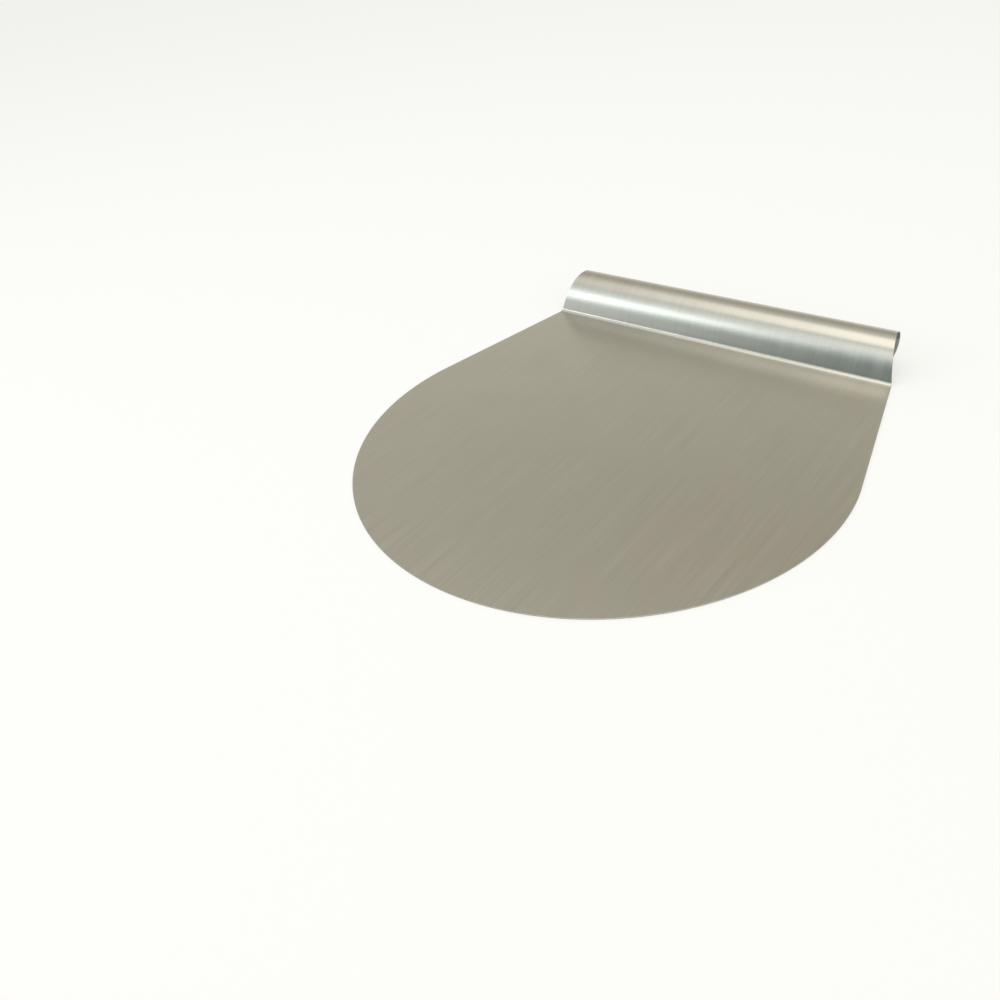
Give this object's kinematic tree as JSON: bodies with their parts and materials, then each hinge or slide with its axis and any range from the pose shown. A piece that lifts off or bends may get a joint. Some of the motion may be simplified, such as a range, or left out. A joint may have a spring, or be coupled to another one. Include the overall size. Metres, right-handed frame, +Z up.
{
  "type": "cake lifter",
  "caption": "Cake lifter: thin flat steel blade, round at the front, with straight sides that close in on a rolled sheet handle open at both ends.",
  "frame": {"origin": "centre of the blade's round, on the underside that the lifter rests on", "axes": "+X along the handle, +Y from the centre of the round to the handle, +Z up out of the blade's upper face"},
  "size_m": [0.3, 0.3214, 0.0249],
  "materials": {
    "satin_steel": "satin, fine straight grain"
  },
  "bodies": {
    "root": {"blade": "satin_steel", "rolled_handle": "satin_steel"}
  },
  "joints": []
}
